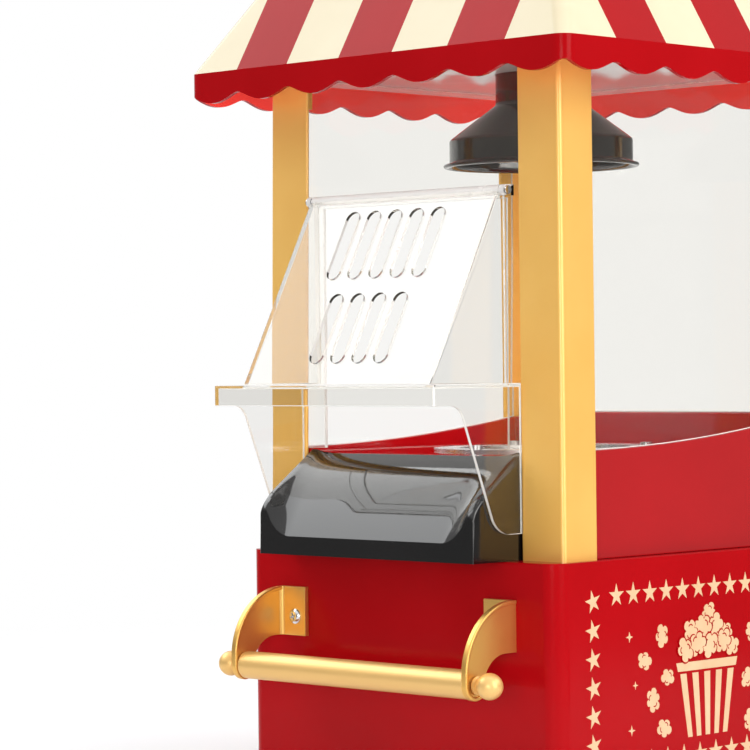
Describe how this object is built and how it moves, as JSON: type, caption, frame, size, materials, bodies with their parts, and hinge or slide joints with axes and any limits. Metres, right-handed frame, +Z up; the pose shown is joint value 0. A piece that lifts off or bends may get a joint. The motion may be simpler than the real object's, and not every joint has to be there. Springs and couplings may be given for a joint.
{
  "type": "popcorn maker",
  "caption": "Tabletop hot-air popcorn maker shaped like an old popcorn cart: red base, clear tower with gold posts, swinging outlet hood, striped canopy roof and handle bar.",
  "frame": {"origin": "middle of the whole object's footprint, on the surface that the rubber feet stand on", "axes": "+Z up, -Y towards the outlet hood and the handle, +X to the right of someone who stands in front of the outlet"},
  "size_m": [0.252, 0.2842, 0.4203],
  "materials": {
    "red_housing": "glossy bright red moulded plastic",
    "clear_pane": "clear polished plastic sheet",
    "gold_post": "satin gold painted plastic",
    "gold_metal": "satin gold painted metal",
    "black_plastic": "glossy black plastic",
    "dark_bell": "dark grey heat-resistant plastic",
    "black_matte": "matt black plastic",
    "rubber": "black rubber",
    "steel": "zinc plated steel",
    "chrome": "chromed steel",
    "aluminium": "spun aluminium",
    "mica": "mica sheet",
    "wire": "resistance wire",
    "fan_plastic": "heat-resistant cream plastic",
    "board": "green circuit board with parts",
    "terminal": "cream terminal block"
  },
  "bodies": {
    "base": {"base_housing": "red_housing", "bottom_cover": "black_matte", "rubber_feet": "rubber", "cover_screws": "steel", "cord_gland": "black_matte", "gland_nut": "black_matte", "switch_frame": "black_plastic", "hopper_deck": "red_housing", "deck_screws": "steel", "popcorn_chute": "black_plastic", "chute_screws": "steel", "post_front_left": "gold_post", "post_front_right": "gold_post", "post_back_left": "gold_post", "post_back_right": "gold_post", "post_screws": "steel", "roof_screws": "steel", "window_left": "clear_pane", "window_right": "clear_pane", "window_back": "clear_pane", "window_front": "clear_pane", "ceiling_plate": "clear_pane", "roof_canopy": "red_housing", "filler_collar": "red_housing", "bell_baffle": "dark_bell", "bell_screws": "steel", "hood_hinge_pins": "chrome", "handle_bar": "gold_metal", "handle_finial_left": "gold_metal", "handle_finial_right": "gold_metal", "handle_bracket_left": "gold_metal", "handle_bracket_right": "gold_metal", "bracket_screws": "chrome", "popping_chamber": "aluminium", "chamber_screws": "steel", "heater_housing": "aluminium", "housing_screws": "steel", "heater_frame": "mica", "heater_coil": "wire", "thermostat": "black_matte", "thermal_fuse": "steel", "fan_housing": "black_matte", "fan_screws": "steel", "motor_can": "steel", "motor_bracket": "steel", "motor_screws": "steel", "rectifier_board": "board", "terminal_block": "terminal"},
    "hood": {"outlet_hood": "clear_pane"},
    "cap": {"filler_cap": "red_housing"},
    "rocker": {"switch_rocker": "black_plastic"},
    "rotor": {"fan_impeller": "fan_plastic", "motor_shaft": "steel"}
  },
  "joints": [
    {"name": "hood_hinge", "type": "hinge", "parent": "base", "child": "hood", "pos_m": [0, -0.0832, 0.2884], "axis": [-1, 0, 0], "range_deg": [0, 60]},
    {"name": "cap_lift", "type": "slide", "parent": "base", "child": "cap", "axis": [0, 0, 1], "range_m": [0, 0.06]},
    {"name": "rocker_tilt", "type": "hinge", "parent": "base", "child": "rocker", "pos_m": [0.055, 0.1241, 0.062], "axis": [-1, 0, 0], "range_deg": [0, 14]},
    {"name": "fan_spin", "type": "hinge", "parent": "base", "child": "rotor", "pos_m": [0, 0.0161, 0.05], "axis": [0, 0, 1], "continuous": true}
  ]
}
